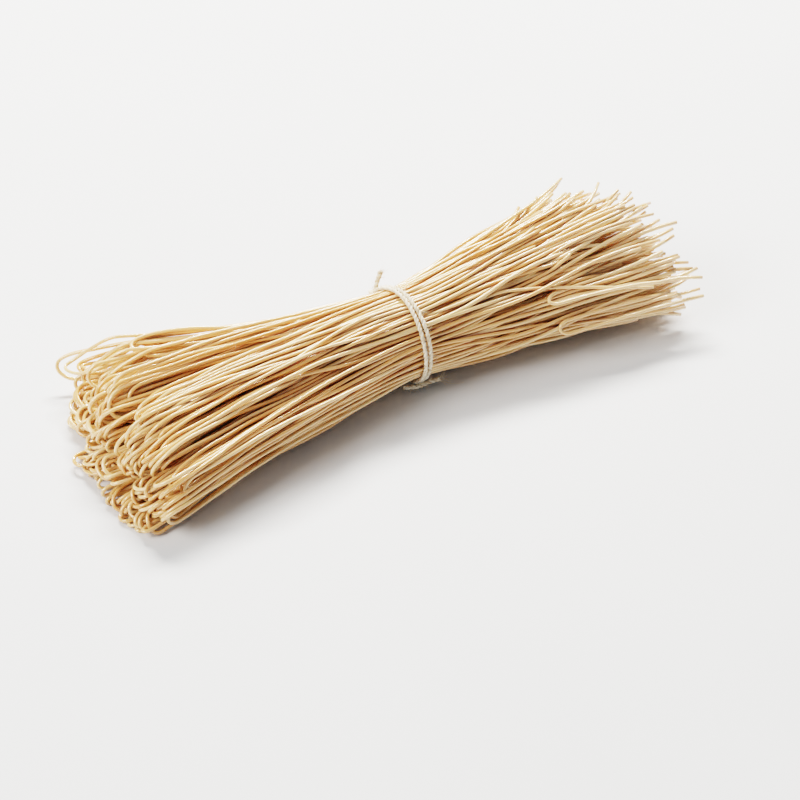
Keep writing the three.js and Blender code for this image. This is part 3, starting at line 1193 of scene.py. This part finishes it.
    def settle_loops(
        self, lines: Array, rounds: int = 60, rebuild: int = 6, push: float = 0.8, weight: float = 0.04
    ) -> Array:
        """Pushes the loops apart in space, and lets them sink until they lie on each other or on the floor.

        Beads along each loop are pushed apart and smoothed along it. They move less towards the loop
        zone's ends, and beads of one noodle push each other only if they aren't close along it.

        Args:
            lines: Centre lines (n, rings, 3).
            rounds: Number of rounds.
            rebuild: Rounds between searches for neighbours.
            push: Share of a push that is made in a round.
            weight: How far a free loop sinks in a round.

        Returns:
            The settled centre lines.
        """
        near, close_along, hold_rise = 1.6 * self.diameter, 8, 2.2
        zone = slice(self.leg_rings, lines.shape[1] - self.leg_rings)
        rest = lines[:, zone]
        beads = rest.copy()
        n, count = beads.shape[:2]
        hold = ease(hold_rise * (1.0 - np.abs(np.linspace(-1.0, 1.0, count))))[None, :, None]
        noodle, order = np.divmod(np.arange(n * count), count)
        radius = np.repeat(self.radius, count)
        for turn in range(rounds):
            if turn % rebuild == 0:
                first, second = near_pairs(beads.reshape(-1, 3), near)
                steps = np.abs(order[first] - order[second])
                apart = (noodle[first] != noodle[second]) | (steps > close_along)
                first, second = first[apart], second[apart]
                gap = radius[first] + radius[second]
            move = pushed_apart(beads.reshape(-1, 3), first, second, gap).reshape(beads.shape)
            drift = beads + push * move - rest
            drift[..., 2] -= weight * self.slack
            for _ in range(2):
                drift[:, 1:-1] = 0.5 * drift[:, 1:-1] + 0.25 * (drift[:, :-2] + drift[:, 2:])
            beads = rest + hold * drift
            beads[..., 2] = np.maximum(beads[..., 2], self.radius[:, None])
        settled = lines.copy()
        settled[:, zone] = beads
        return settled

    def valley_shades(self, lines: Array) -> Array:
        """How far the noodles' skin is shut in by other noodles, which their finish paints as shade.

        Each ring looks for other noodles close by. A neighbour at an angle shades the skin that faces it, by
        the cube of the cosine between them, and less the further off it is. The shades s add up as 1 - e^-s.

        Args:
            lines: Centre lines (n, rings, 3).

        Returns:
            Array (n, rings, sides) from 0 to 1.
        """
        n, rings = lines.shape[:2]
        points = lines.reshape(-1, 3)
        _, normal, binormal = (part.reshape(-1, 3) for part in frames(lines, self.fold_normal[:, None]))
        first, second = near_pairs(points, self.shade_near * self.diameter)
        apart = first // rings != second // rings
        here = np.concatenate([first[apart], second[apart]])
        other = np.concatenate([second[apart], first[apart]])
        offset = points[other] - points[here]
        across, up = (offset * normal[here]).sum(-1), (offset * binormal[here]).sum(-1)
        far = np.maximum(np.hypot(across, up) / self.diameter - 1.0, 0.0)
        spacing = np.gradient(along(lines), axis=1).ravel()
        weight = spacing[other] / (self.shade_length * self.diameter) * bell(far, self.shade_fade)
        angle = np.arctan2(up, across)
        shade = np.stack([
            np.bincount(here, weight * np.maximum(np.cos(angle - side), 0.0) ** 3, len(points))
            for side in ring_angles(self.sides)
        ], -1)
        return (1.0 - np.exp(-self.shade_strength * shade)).reshape(n, rings, self.sides)

    def build(self) -> None:
        """Makes the noodles' tubes, one piece for each layer."""
        self.lay()
        self.settle()
        lines = self.settle_loops(self.centre_lines())
        length = along(lines)
        waves = self.rng.uniform(*self.diameter_waves, (self.count, 3, 1))
        phase = self.rng.uniform(0.0, 2.0 * math.pi, (self.count, 3, 1))
        uneven = self.diameter_swell * np.sin(2.0 * math.pi * waves * length[:, None] + phase).sum(1)
        radii = self.radius[:, None] * (1.0 + uneven)
        radii[:, [0, -1]] *= self.tip_girth
        tone = self.rng.random(self.count)
        # How far each skin is shut in, painted as shade by the noodles' finish.
        valley_shade = self.valley_shades(lines)
        for layer, own in zip(Layer, np.array_split(np.arange(self.count), len(Layer))):
            surface = Surface.bars(
                lines[own] + self.tie, radii[own], self.sides, self.fold_normal[own], tone[own], valley_shade[own]
            )
            self.layers[layer] = surface.object(layer.value)

    def dress(self, finish: NoodleFinish) -> None:
        """Gives every layer the noodles' finish, and its place in the frame.

        Args:
            finish: The noodles' finish.
        """
        material = finish.make()
        for piece in self.layers.values():
            piece.data.materials.append(material)
            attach(piece, "root")
            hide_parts("noodles")


@dataclass(frozen=True)
class Fibres:
    """The twine's loose fibres, and the frays at the ends of its upper and lower tail. Pairs are ranges.

    Counts are those of the turns and of the two tails. A fray has a count and a greatest length.
    """

    counts: tuple[int, int, int] = (230, 20, 40)
    length: Pair = (1.0, 4.5)
    root: float = 0.75
    outwards: float = 0.7
    frays: tuple[tuple[int, float], ...] = ((40, 2.4), (34, 8.0))
    fray_before: int = -7
    fray_spread: float = 0.33
    fray_root: float = 0.6
    fray_share: Pair = (0.4, 1.0)
    bend: float = 0.4
    lowest: float = 0.1
    radius: Pair = (0.05, 0.09)
    tip_girth: float = 0.6
    points: int = 7
    sides: int = 3


@dataclass
class TwineTie:
    """Two turns of two-ply twine round the waist, with a hitch, two tails and loose fibres.

    Angles go from +Y towards +Z. Gaps and shifts are along X, and widths are angles.
    """

    tie: Array
    waist_radius: float = 23.0
    waist_height: float = 25.6
    clearance: float = 0.1
    twine_radius: float = 1.05
    ply_radius: float = 0.66
    lay_length: float = 4.6
    ply_tones: Pair = (0.3, 0.7)
    ply_swell: float = 0.06
    swell_pace: float = 2.3
    swell_shift: float = 3.0
    turn_points: int = 76
    front_angle: float = math.radians(150.0)
    front_gap: float = 0.5
    front_width: float = 0.75
    crossing_length: float = 0.55 * math.pi
    crossing_start: float = 2.09
    hitch_angle: float = math.radians(30.0)
    hitch_shift: float = -4.0
    hitch_width: float = 0.8
    hitch_points: int = 150
    hitch_size: float = 0.85
    hitch_flatness: float = 0.8
    hitch_lift: float = 0.5
    upper_girth: Pair = (1.0, 1.6)
    lower_angle: float = math.radians(234.0)
    lower_girth: Pair = (1.2, 1.4)
    loose: Fibres = Fibres()
    ply_sides: int = 8
    spacing: float = 0.42
    knot_steps: int = 24
    fewest_points: int = 8
    seed: int = 21
    pieces: list[bpy.types.Object] = field(default_factory=list)

    def ring_points(self, x: Array, angle: Array, lift: Array) -> Array:
        """Points over the waist: on a circle of the waist's radius plus the twine's and the lift.

        Args:
            x: Stations.
            angle: Angles.
            lift: Heights over the noodles.

        Returns:
            Array (..., 3) of points.
        """
        radius = self.waist_radius + self.clearance + self.twine_radius + lift
        x, angle, radius = np.broadcast_arrays(x, angle, radius)
        return np.stack([x, radius * np.cos(angle), self.waist_height + radius * np.sin(angle)], -1)

    def smooth(self, points: Array) -> Array:
        """A smooth curve through points, sampled evenly.

        Args:
            points: Array (k, 3) of points.

        Returns:
            Array (m, 3) of points, a spacing apart.
        """
        ends = np.concatenate([2 * points[:1] - points[1:2], points, 2 * points[-1:] - points[-2:-1]])
        t = np.linspace(0.0, 1.0, self.knot_steps, endpoint=False)[None, :, None]
        curve = catmull_rom(*(ends[i:len(ends) - 3 + i, None] for i in range(4)), t)
        curve = np.concatenate([curve.reshape(-1, 3), points[-1:]])
        length = along(curve)
        even = np.linspace(0.0, length[-1], max(self.fewest_points, int(length[-1] / self.spacing)))
        return np.stack([np.interp(even, length, curve[:, axis]) for axis in range(3)], -1)

    def turns(self) -> Array:
        """Path of both turns: from under the hitch, twice round the waist, and back under it.

        The turns lie side by side, furthest apart at the front, cross over underneath, and are drawn aside by
        the hitch.

        Returns:
            Array (m, 3) of points.
        """
        angle = self.hitch_angle + np.linspace(0.0, 4.0 * math.pi, self.turn_points)
        apart = 1.0 + self.front_gap * bell(angle_from(angle, self.front_angle), self.front_width)
        crossing = ease((angle - self.hitch_angle) / self.crossing_length - self.crossing_start)
        side = apart * (2.0 * crossing - 1.0)
        side = side + self.hitch_shift * bell(angle_from(angle, self.hitch_angle), self.hitch_width)
        return self.smooth(self.ring_points(side, angle, np.zeros_like(angle)))

    def upper_tail(self) -> Array:
        """Path of the upper tail, which stands up out of the hitch: stations, angles and lifts from its root.

        Returns:
            Array (m, 3) of points.
        """
        points = self.ring_points(
            self.hitch_shift + np.array([0.0, 0.4, 1.3, 2.5, 3.5]),
            self.hitch_angle + np.radians([0.0, 6.0, 11.0, 15.0, 18.0]),
            np.array([0.3, 1.6, 3.8, 6.0, 7.6]),
        )
        return self.smooth(points)

    def hitch(self) -> Array:
        """Path of the hitch, a trefoil knot over the turns: (sin t + 2 sin 2t, cos t - 2 cos 2t, -sin 3t).

        Returns:
            Array (m, 3) of points.
        """
        t = np.linspace(0.0, 2.0 * math.pi, self.hitch_points)
        size = self.hitch_size * self.twine_radius
        flat_x, flat_y = np.sin(t) + 2 * np.sin(2 * t), np.cos(t) - 2 * np.cos(2 * t)
        out = outwards(self.hitch_angle)
        round_way = np.array([0.0, -out[2], out[1]])
        middle = self.ring_points(self.hitch_shift, self.hitch_angle, self.hitch_lift * self.twine_radius)
        offset = flat_x[:, None] * X_AXIS + self.hitch_flatness * flat_y[:, None] * round_way
        return middle + size * (offset - np.sin(3 * t)[:, None] * out)

    def lower_tail(self) -> Array:
        """Path of the lower tail, over the turns and out along the noodles: its stations, angles and lifts.

        Returns:
            Array (m, 3) of points.
        """
        points = self.ring_points(
            np.array([-8.0, -5.0, -1.0, 3.0, 7.0, 10.5]),
            self.lower_angle - np.array([-0.02, 0.0, 0.0, 0.0, 0.02, 0.05]),
            np.array([1.0, 1.8, 2.7, 2.6, 2.4, 2.6]),
        )
        return self.smooth(points)

    def plies(self, path: Array, reference: Array, girth: Pair = (1.0, 1.0)) -> Surface:
        """The two plies of a twine along a path, each a helix about it half a turn from the other.

        Args:
            path: Array (m, 3) of points.
            reference: A direction that the path doesn't run along.
            girth: Thickness of the plies at the path's start and end, against their own.

        Returns:
            The plies' surface.
        """
        _, normal, binormal = frames(path, reference)
        length = along(path)
        twist = 2.0 * math.pi * length / self.lay_length
        phases = np.array([0.0, math.pi])[:, None]
        around = np.cos(twist + phases)[..., None] * normal + np.sin(twist + phases)[..., None] * binormal
        paths = path + (self.twine_radius - self.ply_radius) * around
        swell = self.ply_swell * np.sin(self.swell_pace * length + self.swell_shift * phases)
        radii = self.ply_radius * (np.linspace(*girth, len(path)) + swell)
        return Surface.bars(paths, radii, self.ply_sides, around, np.array(self.ply_tones))

    def fibres(self, turns: Array, upper: Array, lower: Array) -> Surface:
        """Loose fibres: short arcs that leave the twine at random places, and a fray at each tail's end.

        Each runs from its root r as r + l s d + c s squared e, with s from 0 to 1, d its way out, and e the
        way that it bends.

        Args:
            turns: Path (m, 3) of the turns.
            upper: Path of the upper tail.
            lower: Path of the lower tail.

        Returns:
            The fibres' surface.
        """
        rng, loose = np.random.default_rng(self.seed), self.loose
        roots, ways, lengths = [], [], []
        for path, count in zip((turns, upper, lower), loose.counts):
            at = rng.integers(1, len(path) - 1, count)
            tangent = unit(path[at + 1] - path[at - 1])
            out = unit(np.cross(tangent, rng.normal(0.0, 1.0, (count, 3))))
            roots.append(path[at] + loose.root * self.twine_radius * out)
            ways.append(unit(loose.outwards * out + rng.normal(0.0, 1.0, (count, 1)) * tangent))
            lengths.append(rng.uniform(*loose.length, count))
        for path, (count, longest) in zip((upper, lower), loose.frays):
            way = unit(path[-1] - path[loose.fray_before])
            spread = rng.normal(0.0, loose.fray_spread, (count, 3))
            aside = loose.fray_root * self.twine_radius * rng.uniform(-1.0, 1.0, (count, 3))
            roots.append(path[-1] + aside - way)
            ways.append(unit(way + spread))
            lengths.append(rng.uniform(*loose.fray_share, count) * longest)
        root, way, length = np.concatenate(roots), np.concatenate(ways), np.concatenate(lengths)
        bend = rng.normal(0.0, loose.bend, way.shape) * length[:, None]
        s = np.linspace(0.0, 1.0, loose.points)[:, None]
        lines = root[:, None] + s * (length[:, None] * way)[:, None] + s**2 * bend[:, None]
        lines[..., 2] = np.maximum(lines[..., 2], loose.lowest)
        taper = np.linspace(1.0, loose.tip_girth, loose.points)
        radii = rng.uniform(*loose.radius, len(root))[:, None] * taper
        reference = unit(np.cross(way, rng.normal(0.0, 1.0, way.shape)))
        return Surface.bars(lines + self.tie, radii, loose.sides, reference, rng.random(len(root)))

    def build(self) -> None:
        """Makes the twine's plies as one piece, and its loose fibres as another."""
        turns, hitch, upper, lower = self.turns(), self.hitch(), self.upper_tail(), self.lower_tail()
        twine = joined([
            self.plies(turns + self.tie, X_AXIS),
            self.plies(hitch + self.tie, outwards(self.hitch_angle)),
            self.plies(upper + self.tie, X_AXIS, self.upper_girth),
            self.plies(lower + self.tie, outwards(self.lower_angle), self.lower_girth),
        ])
        self.pieces.append(twine.object("twine_plies"))
        self.pieces.append(self.fibres(turns, upper, lower).object("twine_fibres"))

    def dress(self, finish: TwineFinish) -> None:
        """Gives the twine its finish, and its place in the frame.

        Args:
            finish: The twine's finish.
        """
        material = finish.make()
        for piece in self.pieces:
            piece.data.materials.append(material)
            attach(piece, "root")
            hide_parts("twine_tie")


@dataclass(frozen=True)
class Lamp:
    """A soft area light that faces the bundle.

    Attributes:
        way: Direction from the bundle to the light.
        distance: Metres from the bundle.
        size: Width and height in metres.
        power: Watts.
        colour: Linear colour.
    """

    way: Triple
    distance: float
    size: Pair
    power: float
    colour: Colour

    def hang(self, name: str) -> None:
        """Puts the light into the scene.

        Args:
            name: The light's name.
        """
        lamp = bpy.data.lights.new(name, "AREA")
        lamp.shape = "RECTANGLE"
        lamp.size, lamp.size_y = self.size
        lamp.energy = self.power
        lamp.color = self.colour
        light = bpy.data.objects.new(name, lamp)
        direction = Vector(self.way).normalized()
        light.location = self.distance * direction
        light.rotation_euler = direction.to_track_quat("Z", "Y").to_euler()
        bpy.context.scene.collection.objects.link(light)


@dataclass
class Studio:
    """Floor, light and camera. The camera looks down on the bundle from its front, through a long lens."""

    tie: Array
    turn: float = math.radians(29.63)
    elevation: float = math.radians(40.23)
    distance: float = 1303.0
    aim: Triple = (-11.2, -16.3, 0.0)
    lens: float = 121.2
    sensor: float = 36.0
    floor_half_metres: float = 3.0
    key: Lamp = Lamp((0.45, 0.8, 1.05), 1.7, (1.2, 0.25), 53.0, (1.0, 0.95, 0.87))
    fill: Lamp = Lamp((-1.3, 0.1, 1.1), 2.0, (1.0, 1.0), 26.0, (1.0, 0.96, 0.9))
    air: Colour = (0.95, 0.98, 1.0)
    air_strength: float = 0.18
    exposure: float = 0.55

    def build(self) -> None:
        """Makes the floor, the lights and the camera."""
        self._floor()
        self.key.hang("key")
        self.fill.hang("fill")
        world = bpy.data.worlds.new("studio_air")
        world.use_nodes = True
        background = world.node_tree.nodes["Background"]
        background.inputs["Color"].default_value = (*self.air, 1.0)
        background.inputs["Strength"].default_value = self.air_strength
        bpy.context.scene.world = world
        view = bpy.context.scene.view_settings
        view.view_transform = "Filmic"
        view.look = "High Contrast"
        view.exposure = self.exposure
        self._camera()

    def _floor(self) -> None:
        """A plain square floor under the bundle."""
        half = self.floor_half_metres
        corners = [(-half, -half, 0), (half, -half, 0), (half, half, 0), (-half, half, 0)]
        mesh = bpy.data.meshes.new("floor")
        mesh.from_pydata(corners, [], [(0, 1, 2, 3)])
        floor = bpy.data.objects.new("floor", mesh)
        floor.data.materials.append(FloorFinish().make())
        bpy.context.scene.collection.objects.link(floor)

    def _camera(self) -> None:
        """The camera at the photograph's viewing angle."""
        target = Vector((self.tie + np.array(self.aim)) * MM)
        level = math.cos(self.elevation)
        way = Vector((-level * math.sin(self.turn), -level * math.cos(self.turn), math.sin(self.elevation)))
        lens = bpy.data.cameras.new("camera")
        lens.lens = self.lens
        lens.sensor_width = self.sensor
        camera = bpy.data.objects.new("camera", lens)
        camera.location = target + self.distance * MM * way
        camera.rotation_euler = way.to_track_quat("Z", "Y").to_euler()
        bpy.context.scene.collection.objects.link(camera)
        bpy.context.scene.camera = camera


def tie_place() -> Array:
    """Where the tie stands in the frame, from its solid: its lower tail's end in X, and its turns in Y.

    Returns:
        The point on the floor under the tie's middle, in millimetres.
    """
    tail_reach, ring_outside = 8.09, 25.4
    low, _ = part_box("twine_tie")
    return np.array([low.x / MM + tail_reach, low.y / MM + ring_outside, 0.0])


def main() -> None:
    """Builds the studio, the noodles and the twine in order."""
    logging.basicConfig(level=logging.INFO, format="%(name)s: %(message)s")
    tie = tie_place()
    LOG.info("tie stands at %.2f, %.2f mm", tie[0], tie[1])
    Studio(tie).build()

    bundle = NoodleBundle(tie)
    bundle.build()
    bundle.dress(NoodleFinish())
    twine = TwineTie(tie)
    twine.build()
    twine.dress(TwineFinish())
    for piece in [*bundle.layers.values(), *twine.pieces]:
        triangles = sum(len(face.vertices) - 2 for face in piece.data.polygons)
        LOG.info("%s has %d triangles", piece.name, triangles)


if __name__ == "__main__":
    main()
